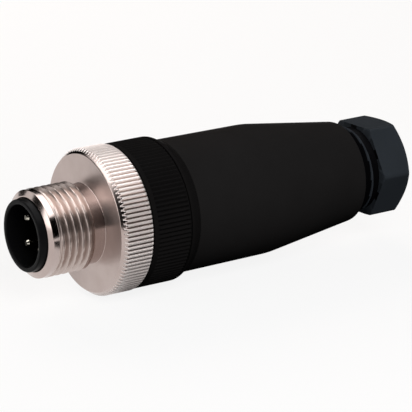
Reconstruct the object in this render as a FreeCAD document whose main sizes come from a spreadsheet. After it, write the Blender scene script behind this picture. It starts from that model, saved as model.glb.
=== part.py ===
import FreeCAD, Part
import math
import os
import Sketcher

# Cable connector with an M12 screw ring, four pins and a cable gland.
# The frame: the X axis runs along the connector, from the pins (-X) to the cable (+X).
# The origin is on that axis, where the screw ring's outside thread starts.
# +Z is up through the coding key, and two flats of the gland's hexagon face nearly up and down.
# Stations along X are written as sums, from the origin towards the cable.

TURN = 360.0
EDGE_TOLERANCE = 0.001

# A size that follows from others is written as their sum, so that what fits together stays together.

SIZES = [
    # Contact insert: the cup that plugs into the socket
    ("rim_ahead", 1.9, "cup rim to start of thread"),
    ("cup_radius", "neck_radius + cup_shoulder", "outside of the cup"),
    ("cup_shoulder", 0.55, "neck out to the cup, where the screw ring pulls"),
    ("cup_wall", 0.7, "wall of the cup"),
    ("cup_depth", 7.9, "rim to floor of the cup"),
    ("floor_thickness", 1.0, "floor of the cup"),
    ("rim_bevel", 0.2, "bevel of the rim, inside and outside"),
    ("neck_bevel", 0.2, "bevel of the neck's end"),
    ("key_width", 1.3, "coding key across"),
    ("key_rise", 0.8, "coding key above the cup's wall"),
    ("key_setback", 0.9, "coding key behind the rim"),
    ("neck_radius", "pin_circle + shank_radius + neck_wall", "neck that passes through the screw ring"),
    ("neck_wall", 1.1, "plastic outside the pins"),
    ("neck_length", 9.2, "floor's back to the neck's end"),
    ("neck_flat", "neck_radius - neck_flat_depth", "axis to each flat on the neck's end"),
    ("neck_flat_depth", 0.65, "flats on the neck's end"),
    ("neck_flat_length", 3.2, "flats on the neck's end"),
    ("seal_groove_back", 4.35, "floor's back to the seal groove"),
    ("seal_groove_width", 1.0, "groove of the neck seal"),
    ("seal_groove_depth", 0.65, "groove of the neck seal"),
    # Pins and their screw terminals
    ("pin_count", 4, "pins on the pin circle"),
    ("pin_circle", 2.5, "radius of the pin circle"),
    ("pin_radius", 0.5, "contact pin"),
    ("pin_setback", 1.6, "rim to the pins' tips"),
    ("pin_point_length", 0.3, "bevel of a pin's tip"),
    ("pin_point_drop", 0.18, "bevel of a pin's tip"),
    ("shank_radius", 0.75, "pin where the plastic holds it"),
    ("block_low", 0.8, "terminal block below its pin's axis"),
    ("block_high", 2.7, "terminal block above its pin's axis"),
    ("block_width", 2.8, "terminal block across"),
    ("block_length", 6.0, "terminal block along X"),
    ("wire_bore", 0.85, "radius of a terminal's wire hole"),
    ("wire_rise", 0.75, "wire hole above its pin's axis"),
    ("wire_depth", 5.0, "depth of a terminal's wire hole"),
    ("screw_back", 2.9, "block's front to its screw"),
    ("screw_radius", 0.95, "thread of a terminal screw"),
    ("screw_length", 1.6, "thread of a terminal screw"),
    ("screw_head_radius", 1.3, "head of a terminal screw"),
    ("screw_head_height", 0.8, "head of a terminal screw"),
    ("screw_slot_width", 0.4, "driver slot"),
    ("screw_slot_depth", 0.4, "driver slot"),
    # Screw ring
    ("thread_radius", "cup_radius + slip + thread_wall", "M12 outside thread"),
    ("thread_wall", 1.0, "ring's bore to the thread's crests"),
    ("thread_length", 5.7, "M12 outside thread"),
    ("lead_ahead", 0.9, "ring's front edge before the thread"),
    ("lead_land", 0.5, "plain land before the thread"),
    ("lead_land_radius", "thread_radius - lead_under", "plain land before the thread"),
    ("lead_under", 0.05, "land under the thread's crests"),
    ("lead_radius", "cup_radius + slip + lead_wall", "ring's front edge"),
    ("lead_wall", 0.15, "ring's bore to its front edge"),
    ("relief_radius", "cup_radius + slip + relief_wall", "undercut behind the thread"),
    ("relief_wall", 0.45, "ring's bore to the undercut"),
    ("relief_taper", 0.3, "thread's end down to the undercut"),
    ("relief_length", 2.0, "undercut with its taper"),
    ("flange_radius", 10.0, "knurled flange: the widest place"),
    ("flange_length", 4.7, "knurled flange"),
    ("flange_bevel_drop", 0.5, "front bevel of the flange"),
    ("flange_bevel_length", 0.6, "front bevel of the flange"),
    ("step_thickness", 2.3, "inside step that draws the insert in"),
    ("pocket_radius", "flange_radius - flange_wall", "pocket in the flange's back"),
    ("flange_wall", 1.85, "flange outside its pocket"),
    # Knurls
    ("knurl_count", 100, "grooves round the flange and round the grip"),
    ("knurl_depth", 0.26, "depth of a groove"),
    ("knurl_width", 0.46, "width of a groove"),
    # Grip ring
    ("grip_radius", 9.9, "knurled grip ring"),
    ("grip_collar", 0.65, "smooth edge before the grip's knurl"),
    ("grip_knurl", 5.05, "grip's knurl"),
    ("grip_land", 0.55, "smooth edge behind the grip's knurl"),
    ("grip_bevel", 1.3, "bevel down to the housing"),
    ("grip_end_radius", "housing_radius + grip_proud", "grip ring's back edge"),
    ("grip_proud", 0.05, "grip ring's back edge above the housing"),
    ("grip_line", 0.2, "width of the line cut at the knurl's back end"),
    ("grip_edge", 0.14, "bevel of the grip's front edge"),
    ("ring_gap", 0.15, "screw ring's back to the grip ring"),
    ("spigot_radius", "joint_thread_radius + spigot_rise", "spigot under the housing's seal"),
    ("spigot_rise", 0.3, "spigot above the thread behind it"),
    ("spigot_length", 2.4, "spigot under the housing's seal"),
    ("joint_thread_radius", "carrier_radius + seat_fit + joint_wall", "thread that the housing screws on"),
    ("joint_wall", 1.07, "wall under that thread"),
    ("joint_thread_length", 4.0, "thread that the housing screws on"),
    ("web_thickness", 3.6, "grip ring's front wall round the neck"),
    # Terminal carrier
    ("carrier_radius", "pin_circle + block_high + screw_head_height + carrier_cover", "terminal carrier"),
    ("carrier_cover", 0.3, "carrier above the terminal screws' heads"),
    ("carrier_over", 0.6, "carrier behind the terminal blocks"),
    ("carrier_block_back", 12.4, "carrier's front to the terminal blocks"),
    ("carrier_bevel", 0.5, "bevel of the carrier's back edge"),
    # Housing
    ("housing_radius", "spigot_radius + running_fit + housing_wall", "housing's front"),
    ("housing_wall", 1.37, "housing round the spigot"),
    ("knee_radius", "housing_radius - knee_drop", "housing where its taper starts"),
    ("knee_drop", 0.1, "front of the housing down to the knee"),
    ("tail_radius", "gland_thread_radius + running_fit + tail_wall", "housing's back, unrounded"),
    ("tail_wall", 0.77, "housing round the gland's thread"),
    ("knee_round", 14.0, "soft round where the taper starts"),
    ("housing_edge", 0.14, "bevel of the housing's front edge"),
    ("housing_cone", 1.4, "cone inside, before the bulkhead"),
    ("housing_straight", 14.4, "housing's front to the knee"),
    ("housing_taper", 14.4, "knee to the back"),
    ("tail_round", 0.55, "rounded edge at the back"),
    ("housing_bore", "carrier_radius + housing_room", "room round the terminals"),
    ("housing_room", 0.9, "room round the terminals"),
    ("bulkhead_setback", 13.4, "housing's front to the bulkhead"),
    ("bulkhead_thickness", 1.4, "bulkhead before the cable seal"),
    ("cable_hole", 3.6, "radius of the cable's way through the bulkhead"),
    ("seal_bore", "seal_radius + seal_play", "bore round the cable seal"),
    ("seal_play", 0.1, "cable seal in its bore"),
    ("seal_bore_length", 5.6, "bore round the cable seal"),
    ("gland_thread_radius", "seal_bore + gland_step", "gland's thread"),
    ("gland_step", 0.3, "seal's bore out to the gland's thread"),
    ("joint_seal_section", 0.42, "radius of the joint seal's section"),
    ("joint_seal_back", 0.55, "housing's front to the joint seal's groove"),
    ("joint_seal_groove", 1.1, "groove of the joint seal"),
    ("neck_seal_section", 0.33, "radius of the neck seal's section"),
    # Cable seal, washer and clamping cage
    ("squeeze_room", 2.6, "room that the seal moves into when the gland is tightened"),
    ("seal_length", 4.0, "cable seal"),
    ("seal_radius", "cage_finger_radius + cage_rim_step", "cable seal"),
    ("cage_rim_step", 1.0, "cage's rim above its fingers, as far as the seal"),
    ("seal_hole", 3.1, "cable seal's hole"),
    ("seal_bevel", 0.7, "bevel of the cable seal's front"),
    ("seal_lip", 0.8, "lip at each end of the cable seal's hole"),
    ("seal_waist", 0.32, "hollow between the lips"),
    ("washer_thickness", 0.6, "thrust washer"),
    ("washer_hole", 3.3, "thrust washer's hole"),
    ("cage_rim_length", 1.0, "clamping cage's rim"),
    ("cage_finger_length", 4.4, "clamping cage's fingers"),
    ("cage_finger_radius", "cage_hole + finger_wall", "fingers outside, at the rim"),
    ("finger_wall", 1.2, "fingers at the rim"),
    ("cage_tip_radius", "cage_hole + tip_wall", "fingers outside, at the tips"),
    ("tip_wall", 0.7, "fingers at the tips"),
    ("tip_bevel_length", 0.7, "bevel of the fingers' tips"),
    ("tip_bevel_drop", 0.35, "bevel of the fingers' tips"),
    ("cage_hole", 3.6, "cable's way through the cage"),
    ("cage_slots", 8, "slots between the fingers"),
    ("cage_slot_width", 0.7, "slots between the fingers"),
    # Pressing screw
    ("press_thread_length", 6.8, "pressing screw's thread"),
    ("press_edge", 0.2, "bevel of the pressing screw's front edge"),
    ("press_neck_radius", "gland_thread_radius - neck_step", "neck before the hexagon"),
    ("neck_step", 0.5, "gland's thread down to that neck"),
    ("press_neck_length", 1.9, "neck before the hexagon"),
    ("press_mouth_radius", "cage_finger_radius + finger_play", "mouth that takes the fingers"),
    ("finger_play", 0.25, "fingers in the mouth"),
    ("press_mouth_length", 2.4, "mouth that takes the fingers"),
    ("press_cone_length", 3.4, "cone that closes the fingers"),
    ("press_bore", "cage_hole - entry_step", "cable entry"),
    ("entry_step", 0.1, "cage's hole in to the cable entry"),
    ("press_entry_bevel", 0.6, "bevel of the cable entry"),
    ("hex_flat", "gland_thread_radius + hex_over", "axis to a flat"),
    ("hex_over", 0.05, "flats outside the gland's thread"),
    ("hex_corner_radius", "hex_flat + hex_corner_over", "blank that the hexagon's corners end at"),
    ("hex_corner_over", 0.85, "corners outside the flats"),
    ("hex_turn", 3.0, "hexagon turned round X from level flats, in degrees"),
    ("hex_sides", 6, "sides of the hexagon"),
    ("hex_length", 4.9, "hexagon along X"),
    ("hex_front_radius", "hex_flat + hex_front_over", "hexagon's front face"),
    ("hex_front_over", 0.55, "front face outside the flats"),
    ("hex_front_bevel", 0.15, "hexagon's front bevel"),
    ("hex_back_radius", "hex_flat - hex_back_under", "hexagon's back face"),
    ("hex_back_under", 0.2, "back face inside the flats"),
    ("hex_back_bevel", 0.6, "hexagon's back bevel"),
    # Clearances
    ("slip", 0.1, "along X, between pieces that turn past each other"),
    ("running_fit", 0.08, "radial, between pieces that turn in each other"),
    ("seat_fit", 0.03, "between pieces that stay put in each other"),
]

doc = FreeCAD.newDocument("connector")
sheet = doc.addObject("Spreadsheet::Sheet", "Sizes")
for row, (alias, number, note) in enumerate(SIZES, start=1):
    sheet.set("A%d" % row, note)
    sheet.set("B%d" % row, "=" + number if isinstance(number, str) else str(number))
    sheet.setAlias("B%d" % row, alias)
doc.recompute()

SIZE_NAMES = {alias for alias, number, note in SIZES}


def size(alias):
    """The number in the sheet's cell of that alias."""
    return float(sheet.get(alias))


def formula(text):
    """Turn size names in a sum into cells of the sheet: thread_length becomes Sizes.thread_length."""
    words = []
    word = ""
    for letter in text + " ":
        if letter.isalnum() or letter == "_":
            word += letter
            continue
        words.append("Sizes." + word if word in SIZE_NAMES else word)
        words.append(letter)
        word = ""
    return "".join(words).strip()


def add(*terms):
    """One station or radius from several terms, as a sum in brackets."""
    return "(" + " + ".join(terms) + ")"


def less(first, *others):
    """The first term less the others, in brackets."""
    return "(" + " - ".join((first,) + others) + ")"


# Stations along X
rim = "(0 - rim_ahead)"
cup_floor = add(rim, "cup_depth")
cup_back = add(cup_floor, "floor_thickness")
neck_end = add(cup_back, "neck_length")
flange_face = add("thread_length", "relief_length")
flange_back = add(flange_face, "flange_length")
step_front = add(cup_back, "slip")
step_back = add(step_front, "step_thickness")
boss_front = add(step_back, "slip")
grip_front = add(flange_back, "ring_gap")
grip_knurl_front = add(grip_front, "grip_collar")
grip_knurl_back = add(grip_knurl_front, "grip_knurl")
grip_back = add(grip_knurl_back, "grip_land", "grip_bevel")
spigot_end = add(grip_back, "spigot_length")
joint_thread_end = add(spigot_end, "joint_thread_length")
carrier_front = add(boss_front, "web_thickness", "seat_fit")
blocks_front = add(carrier_front, "carrier_block_back")
blocks_back = add(blocks_front, "block_length")
carrier_end = add(blocks_back, "carrier_over")
housing_front = add(grip_back, "slip")
knee = add(housing_front, "housing_straight")
housing_end = add(knee, "housing_taper")
bulkhead_front = add(housing_front, "bulkhead_setback")
bulkhead_back = add(bulkhead_front, "bulkhead_thickness")
seal_bore_end = add(bulkhead_back, "seal_bore_length")
seal_front = add(bulkhead_back, "squeeze_room")
seal_back = add(seal_front, "seal_length")
washer_front = add(seal_back, "seat_fit")
washer_back = add(washer_front, "washer_thickness")
cage_front = add(washer_back, "seat_fit")
cage_rim_back = add(cage_front, "cage_rim_length")
cage_end = add(cage_rim_back, "cage_finger_length")
press_front = add(cage_rim_back, "seat_fit")
press_thread_end = add(press_front, "press_thread_length")
hex_front = add(press_thread_end, "press_neck_length")
hex_back = add(hex_front, "hex_length")


def plane_of(body, role):
    """One of the body's own origin planes or axes, by its role."""
    for feature in body.Origin.OriginFeatures:
        if feature.Role == role:
            return feature
    raise RuntimeError("no origin feature " + role)


def new_sketch(body, name, role, offset=None):
    """A sketch on one of the body's origin planes, moved along the plane's normal by a formula."""
    sketch = body.newObject("Sketcher::SketchObject", body.Label + "_" + name)
    sketch.AttachmentSupport = (plane_of(body, role), [""])
    sketch.MapMode = "FlatFace"
    if offset is not None:
        sketch.setExpression(".AttachmentOffset.Base.z", formula(offset))
    return sketch


def place_point(sketch, line, end, across, along):
    """Hold one end of a side at two formulas from the sketch's origin."""
    for kind, text in (("DistanceX", across), ("DistanceY", along)):
        value = sketch.evalExpression(formula(text))
        number = sketch.addConstraint(Sketcher.Constraint(kind, -1, 1, line, end, float(value)))
        sketch.setExpression("Constraints[%d]" % number, formula(text))


def crowned_arc(left, right, radius):
    """An arc of that radius from a left point to a right one, bulging to the left-hand side on the way."""
    middle = (left + right) / 2
    half = (right - left) / 2
    normal = FreeCAD.Vector(half.y, 0 - half.x, 0).normalize()
    centre = middle + normal * math.sqrt(radius ** 2 - half.Length ** 2)
    first, last = right - centre, left - centre
    circle = Part.Circle(centre, FreeCAD.Vector(0, 0, 1), radius)
    return Part.ArcOfCircle(circle, math.atan2(first.y, first.x), math.atan2(last.y, last.x))


def draw_outline(sketch, points):
    """A closed outline through points, each a pair of formulas.

    A third formula makes the side that starts there a crowned arc of that radius, from left to right.
    """
    first = sketch.GeometryCount
    corners = []
    for point in points:
        across, along = (float(sketch.evalExpression(formula(text))) for text in point[:2])
        corners.append(FreeCAD.Vector(across, along, 0))
    sides = []
    for number, corner in enumerate(corners):
        following = corners[(number + 1) % len(corners)]
        if len(points[number]) > len(("across", "along")):
            radius = float(sketch.evalExpression(formula(points[number][2])))
            sides.append(crowned_arc(corner, following, radius))
        else:
            sides.append(Part.LineSegment(corner, following))
    sketch.addGeometry(sides, False)
    # A line starts at its end 1. A crowned arc runs the other way round, so it starts at its end 2.
    starts = [2 if isinstance(side, Part.ArcOfCircle) else 1 for side in sides]
    ends = [1 if isinstance(side, Part.ArcOfCircle) else 2 for side in sides]
    for number in range(len(points)):
        following = (number + 1) % len(points)
        sketch.addConstraint(Sketcher.Constraint(
            "Coincident", first + number, ends[number], first + following, starts[following]))
    for number, point in enumerate(points):
        place_point(sketch, first + number, starts[number], point[0], point[1])
        if isinstance(sides[number], Part.ArcOfCircle):
            held = sketch.addConstraint(Sketcher.Constraint("Radius", first + number, sides[number].Radius))
            sketch.setExpression("Constraints[%d]" % held, formula(point[2]))


def draw_circle(sketch, across, along, radius):
    """A circle whose centre and radius are formulas."""
    centre = FreeCAD.Vector(
        float(sketch.evalExpression(formula(across))),
        float(sketch.evalExpression(formula(along))), 0)
    number = sketch.GeometryCount
    value = float(sketch.evalExpression(formula(radius)))
    sketch.addGeometry(Part.Circle(centre, FreeCAD.Vector(0, 0, 1), value), False)
    held = sketch.addConstraint(Sketcher.Constraint("Radius", number, value))
    sketch.setExpression("Constraints[%d]" % held, formula(radius))
    for kind, text, here in (("DistanceX", across, centre.x), ("DistanceY", along, centre.y)):
        held = sketch.addConstraint(Sketcher.Constraint(kind, -1, 1, number, 3, here))
        sketch.setExpression("Constraints[%d]" % held, formula(text))


def new_body(label):
    """An empty body under its own name."""
    body = doc.addObject("PartDesign::Body", label)
    body.Label = label
    return body


def revolve(body, outline, name="section"):
    """Turn an outline of (station, radius) formulas round the body's X axis."""
    sketch = new_sketch(body, name, "XY_Plane")
    draw_outline(sketch, outline)
    turned = body.newObject("PartDesign::Revolution", body.Label + "_" + name + "_turned")
    turned.Profile = sketch
    turned.ReferenceAxis = (sketch, ["H_Axis"])
    turned.Angle = TURN
    sketch.Visibility = False
    return turned


def turned_body(label, outline):
    """A body that is one turned piece."""
    body = new_body(label)
    revolve(body, outline)
    doc.recompute()
    return body


def cut_along_x(body, name, draw, start, length):
    """Cut what draw puts in a sketch across X, from one station towards +X over a length."""
    sketch = new_sketch(body, name, "YZ_Plane", start)
    draw(sketch)
    pocket = body.newObject("PartDesign::Pocket", body.Label + "_" + name + "_cut")
    pocket.Profile = sketch
    pocket.Type = "Length"
    pocket.Reversed = True
    pocket.setExpression("Length", formula(length))
    return finish_cut(body, pocket)


def cut_along_z(body, name, draw, start, length):
    """Cut what draw puts in a sketch across Z, from one height upwards over a length."""
    sketch = new_sketch(body, name, "XY_Plane", start)
    draw(sketch)
    pocket = body.newObject("PartDesign::Pocket", body.Label + "_" + name + "_cut")
    pocket.Profile = sketch
    pocket.Type = "Length"
    pocket.Reversed = True
    pocket.setExpression("Length", formula(length))
    return finish_cut(body, pocket)


def finish_cut(body, pocket):
    """Make the cut and stop if it took nothing away."""
    before = pocket.BaseFeature.Shape.Volume if pocket.BaseFeature else 0.0
    doc.recompute()
    if not pocket.Shape.Volume < before:
        raise RuntimeError(pocket.Name + " cuts nothing")
    return pocket


def repeat(body, feature, count):
    """Repeat a feature round the body's X axis, count being a formula."""
    pattern = body.newObject("PartDesign::PolarPattern", feature.Name + "_round")
    pattern.Originals = [feature]
    pattern.Axis = (plane_of(body, "X_Axis"), [""])
    pattern.Angle = TURN
    pattern.setExpression("Occurrences", formula(count))
    body.Tip = pattern
    before = feature.Shape.Volume
    doc.recompute()
    if not pattern.Shape.Volume < before:
        raise RuntimeError(pattern.Name + " repeats nothing")
    return pattern


def value_of(text):
    """The number that a formula gives."""
    return float(sheet.evalExpression(formula(text)))


def round_edge(body, name, station, radius, blend):
    """Round the circular edge of that radius at that station."""
    tip = body.Tip
    found = []
    for number, edge in enumerate(tip.Shape.Edges, start=1):
        curve = edge.Curve
        if not isinstance(curve, Part.Circle):
            continue
        near_station = abs(curve.Center.x - value_of(station)) < EDGE_TOLERANCE
        if near_station and abs(curve.Radius - value_of(radius)) < EDGE_TOLERANCE:
            found.append("Edge%d" % number)
    fillet = body.newObject("PartDesign::Fillet", body.Label + "_" + name + "_round")
    fillet.Base = (tip, found)
    fillet.setExpression("Radius", formula(blend))
    doc.recompute()
    return fillet


def knurl(body, radius, start, length):
    """Straight V grooves with flat crests, cut along X round a turned body."""
    def groove(sketch):
        # Twice the groove's height, so half its sides stand outside the piece
        draw_outline(sketch, [
            ("0", less(radius, "knurl_depth")),
            ("knurl_width", add(radius, "knurl_depth")),
            (less("0", "knurl_width"), add(radius, "knurl_depth"))])

    cut = cut_along_x(body, "groove", groove, start, length)
    return repeat(body, cut, "knurl_count")


def make_contact_insert():
    """Cup, floor and neck in one moulding, with a coding key and four pin holes."""
    wall_inside = less("cup_radius", "cup_wall")
    groove_front = add(cup_back, "seal_groove_back")
    groove_back = add(groove_front, "seal_groove_width")
    groove_floor = less("neck_radius", "seal_groove_depth")
    body = turned_body("contact_insert", [
        (rim, add(wall_inside, "rim_bevel")),
        (rim, less("cup_radius", "rim_bevel")),
        (add(rim, "rim_bevel"), "cup_radius"),
        (cup_back, "cup_radius"),
        (cup_back, "neck_radius"),
        (groove_front, "neck_radius"),
        (groove_front, groove_floor),
        (groove_back, groove_floor),
        (groove_back, "neck_radius"),
        (less(neck_end, "neck_bevel"), "neck_radius"),
        (neck_end, less("neck_radius", "neck_bevel")),
        (neck_end, "0"),
        (cup_floor, "0"),
        (cup_floor, wall_inside),
        (add(rim, "rim_bevel"), wall_inside)])
    flats_front = less(neck_end, "neck_flat_length")
    for name, side in (("upper_flat", "1"), ("lower_flat", "(0 - 1)")):
        def flat(sketch, side=side):
            near = "(" + side + " * neck_flat)"
            far = "(" + side + " * cup_radius)"
            draw_outline(sketch, [
                (less("0", "cup_radius"), near), ("cup_radius", near),
                ("cup_radius", far), (less("0", "cup_radius"), far)])
        cut_along_x(body, name, flat, flats_front, "neck_flat_length + slip")

    def hole(sketch):
        draw_circle(sketch, "(pin_circle * cos(180 / pin_count))", "(pin_circle * sin(180 / pin_count))",
                    add("shank_radius", "seat_fit"))
    cut = cut_along_x(
        body, "pin_hole", hole, less(cup_floor, "slip"), "floor_thickness + neck_length + 2 * slip")
    repeat(body, cut, "pin_count")
    key_front = add(rim, "key_setback")
    sketch = new_sketch(body, "key", "YZ_Plane", key_front)
    half = "(key_width / 2)"
    low = less(wall_inside, "key_rise")
    high = add(wall_inside, "(cup_wall / 2)")
    draw_outline(sketch, [(less("0", half), low), (half, low), (half, high), (less("0", half), high)])
    key = body.newObject("PartDesign::Pad", "contact_insert_key_pad")
    key.Profile = sketch
    key.Type = "Length"
    key.setExpression("Length", formula("cup_depth - key_setback + floor_thickness / 2"))
    doc.recompute()
    body.Tip = key
    return body


def make_coupling_nut():
    """Screw ring: thread in front, knurled flange behind, and an inside step that pulls the insert in."""
    bore = add("cup_radius", "slip")
    relief_front = add("thread_length", "relief_taper")
    edge = less("flange_radius", "flange_bevel_drop")
    body = turned_body("coupling_nut", [
        (less("0", "lead_ahead"), bore),
        (less("0", "lead_ahead"), "lead_radius"),
        (less("0", "lead_land"), "lead_land_radius"),
        ("0", "lead_land_radius"),
        ("0", "thread_radius"),
        ("thread_length", "thread_radius"),
        (relief_front, "relief_radius"),
        (flange_face, "relief_radius"),
        (flange_face, edge),
        (add(flange_face, "flange_bevel_length"), "flange_radius"),
        (flange_back, "flange_radius"),
        (flange_back, "pocket_radius"),
        (step_back, "pocket_radius"),
        (step_back, add("neck_radius", "running_fit")),
        (step_front, add("neck_radius", "running_fit")),
        (step_front, bore)])
    knurl(body, "flange_radius", flange_face, "flange_length")
    return body


def make_grip_ring():
    """Front of the case: a boss inside the screw ring, a knurled grip and the spigot for the housing."""
    body = turned_body("grip_ring", [
        (boss_front, add("neck_radius", "running_fit")),
        (boss_front, less("pocket_radius", "running_fit")),
        (grip_front, less("pocket_radius", "running_fit")),
        (grip_front, less("grip_radius", "grip_edge")),
        (add(grip_front, "grip_edge"), "grip_radius"),
        (grip_knurl_back, "grip_radius"),
        (grip_knurl_back, less("grip_radius", "knurl_depth")),
        (add(grip_knurl_back, "grip_line"), less("grip_radius", "knurl_depth")),
        (add(grip_knurl_back, "grip_line"), "grip_radius"),
        (add(grip_knurl_back, "grip_land"), "grip_radius"),
        (grip_back, "grip_end_radius"),
        (grip_back, "spigot_radius"),
        (spigot_end, "spigot_radius"),
        (spigot_end, "joint_thread_radius"),
        (joint_thread_end, "joint_thread_radius"),
        (joint_thread_end, add("carrier_radius", "seat_fit")),
        (less(carrier_front, "seat_fit"), add("carrier_radius", "seat_fit")),
        (less(carrier_front, "seat_fit"), add("neck_radius", "running_fit"))])
    knurl(body, "grip_radius", grip_knurl_front, "grip_knurl")
    return body


def make_terminal_carrier():
    """Moulded block that holds the four screw terminals behind the insert."""
    body = turned_body("terminal_carrier", [
        (carrier_front, add("neck_radius", "seat_fit")),
        (carrier_front, "carrier_radius"),
        (less(carrier_end, "carrier_bevel"), "carrier_radius"),
        (carrier_end, less("carrier_radius", "carrier_bevel")),
        (carrier_end, "0"),
        (add(neck_end, "seat_fit"), "0"),
        (add(neck_end, "seat_fit"), add("neck_radius", "seat_fit"))])

    def shank(sketch):
        draw_circle(sketch, "0", "pin_circle", add("shank_radius", "seat_fit"))

    def block(sketch):
        half = add("(block_width / 2)", "seat_fit")
        low = less("pin_circle", "block_low", "seat_fit")
        high = add("pin_circle", "block_high", "seat_fit")
        draw_outline(sketch, [(less("0", half), low), (half, low), (half, high), (less("0", half), high)])

    def screw(sketch):
        draw_circle(sketch, add(blocks_front, "screw_back"), "0", add("screw_head_radius", "slip"))
    shank_cut = cut_along_x(body, "shank", shank, neck_end, "carrier_block_back + block_length")
    repeat(body, shank_cut, "pin_count")
    block_cut = cut_along_x(
        body, "block", block, less(blocks_front, "seat_fit"), "block_length + 2 * carrier_over")
    repeat(body, block_cut, "pin_count")
    screw_cut = cut_along_z(body, "screw", screw, "pin_circle", "carrier_radius")
    repeat(body, screw_cut, "pin_count")
    turn = FreeCAD.Rotation(FreeCAD.Vector(1, 0, 0), TURN / size("pin_count") / 2)
    body.Placement = FreeCAD.Placement(FreeCAD.Vector(0, 0, 0), turn)
    return body


def radial_place(number, height):
    """Placement that puts a piece at a height above the axis, turned to one of the pins."""
    step = TURN / size("pin_count")
    turn = FreeCAD.Rotation(FreeCAD.Vector(1, 0, 0), step * (number + 0.5))
    return FreeCAD.Placement(turn.multVec(FreeCAD.Vector(0, 0, height)), turn)


def make_contact(number):
    """One contact: a turned pin with a screw terminal block at its back."""
    tip = add(rim, "pin_setback")
    body = turned_body("contact_%d" % (number + 1), [
        (tip, "0"),
        (tip, less("pin_radius", "pin_point_drop")),
        (add(tip, "pin_point_length"), "pin_radius"),
        (cup_floor, "pin_radius"),
        (cup_floor, "shank_radius"),
        (add(blocks_front, "slip"), "shank_radius"),
        (add(blocks_front, "slip"), "0")])
    sketch = new_sketch(body, "block", "YZ_Plane", blocks_front)
    half = "(block_width / 2)"
    draw_outline(sketch, [
        (less("0", half), "(0 - block_low)"), (half, "(0 - block_low)"),
        (half, "block_high"), (less("0", half), "block_high")])
    pad = body.newObject("PartDesign::Pad", body.Label + "_block_pad")
    pad.Profile = sketch
    pad.Type = "Length"
    pad.setExpression("Length", formula("block_length"))
    doc.recompute()

    def wire(sketch):
        draw_circle(sketch, "0", "wire_rise", "wire_bore")

    def tapped(sketch):
        draw_circle(sketch, add(blocks_front, "screw_back"), "0", add("screw_radius", "seat_fit"))
    cut_along_x(body, "wire", wire, less(blocks_back, "wire_depth"), "wire_depth + slip")
    cut_along_z(body, "tapped", tapped, "wire_rise", "block_high")
    body.Placement = radial_place(number, size("pin_circle"))
    return body


def make_terminal_screw(number):
    """A slotted screw, turned along its own X axis and stood up over its terminal."""
    body = turned_body("terminal_screw_%d" % (number + 1), [
        ("(0 - screw_length)", "0"),
        ("(0 - screw_length)", "screw_radius"),
        ("0", "screw_radius"),
        ("0", "screw_head_radius"),
        ("screw_head_height", "screw_head_radius"),
        ("screw_head_height", "0")])

    def slot(sketch):
        half = "(screw_slot_width / 2)"
        reach = "(screw_head_radius + slip)"
        draw_outline(sketch, [
            (less("0", half), less("0", reach)), (half, less("0", reach)),
            (half, reach), (less("0", half), reach)])
    cut_along_x(body, "slot", slot, "(screw_head_height - screw_slot_depth)", "screw_slot_depth + slip")
    head_under = size("pin_circle") + size("block_high") + size("seat_fit")
    station = value_of(add(blocks_front, "screw_back"))
    place = radial_place(number, head_under)
    up = FreeCAD.Rotation(FreeCAD.Vector(0, 1, 0), -90)
    foot = place.Base + FreeCAD.Vector(station, 0, 0)
    body.Placement = FreeCAD.Placement(foot, place.Rotation.multiply(up))
    return body


def ring_seal(label, radius, section, station):
    """A round-section sealing ring about the X axis."""
    seal = doc.addObject("Part::Torus", label)
    seal.Label = label
    seal.setExpression("Radius1", formula(radius))
    seal.setExpression("Radius2", formula(section))
    upright = FreeCAD.Rotation(FreeCAD.Vector(0, 1, 0), 90)
    seal.Placement = FreeCAD.Placement(FreeCAD.Vector(0, 0, 0), upright)
    seal.setExpression(".Placement.Base.x", formula(station))
    doc.recompute()
    return seal


def make_rear_housing():
    """Tapered case that screws over the terminals, with the gland's seat and thread at its back."""
    thread_bore = add("gland_thread_radius", "running_fit")
    joint_bore = add("joint_thread_radius", "running_fit")
    spigot_bore = add("spigot_radius", "running_fit")
    groove_front = add(housing_front, "joint_seal_back")
    groove_back = add(groove_front, "joint_seal_groove")
    groove_floor = add("spigot_radius", "2 * joint_seal_section", "2 * seat_fit")
    bore_front = add(spigot_end, "slip")
    bore_back = add(joint_thread_end, "slip")
    front_slope = "atan(knee_drop / (housing_straight - housing_edge))"
    taper_slope = "atan((knee_radius - tail_radius) / housing_taper)"
    knee_reach = "(knee_round * tan((" + taper_slope + " - " + front_slope + ") / 2))"
    body = turned_body("rear_housing", [
        (housing_front, spigot_bore),
        (housing_front, less("housing_radius", "housing_edge")),
        (add(housing_front, "housing_edge"), "housing_radius"),
        (less(knee, knee_reach + " * cos(" + front_slope + ")"),
         add("knee_radius", knee_reach + " * sin(" + front_slope + ")"), "knee_round"),
        (add(knee, knee_reach + " * cos(" + taper_slope + ")"),
         less("knee_radius", knee_reach + " * sin(" + taper_slope + ")")),
        (housing_end, "tail_radius"),
        (housing_end, thread_bore),
        (seal_bore_end, thread_bore),
        (seal_bore_end, "seal_bore"),
        (bulkhead_back, "seal_bore"),
        (bulkhead_back, "cable_hole"),
        (bulkhead_front, "cable_hole"),
        (less(bulkhead_front, "housing_cone"), "housing_bore"),
        (bore_back, "housing_bore"),
        (bore_back, joint_bore),
        (bore_front, joint_bore),
        (bore_front, spigot_bore),
        (groove_back, spigot_bore),
        (groove_back, groove_floor),
        (groove_front, groove_floor),
        (groove_front, spigot_bore)])
    round_edge(body, "tail", housing_end, "tail_radius", "tail_round")
    return body


def make_cable_seal():
    """Rubber bush round the cable, with a lip at each end of its hole."""
    waist = add("seal_hole", "seal_waist")
    return turned_body("cable_seal", [
        (seal_front, "seal_hole"),
        (seal_front, less("seal_radius", "seal_bevel")),
        (add(seal_front, "seal_bevel"), "seal_radius"),
        (seal_back, "seal_radius"),
        (seal_back, "seal_hole"),
        (less(seal_back, "seal_lip"), waist),
        (add(seal_front, "seal_lip"), waist)])


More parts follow.
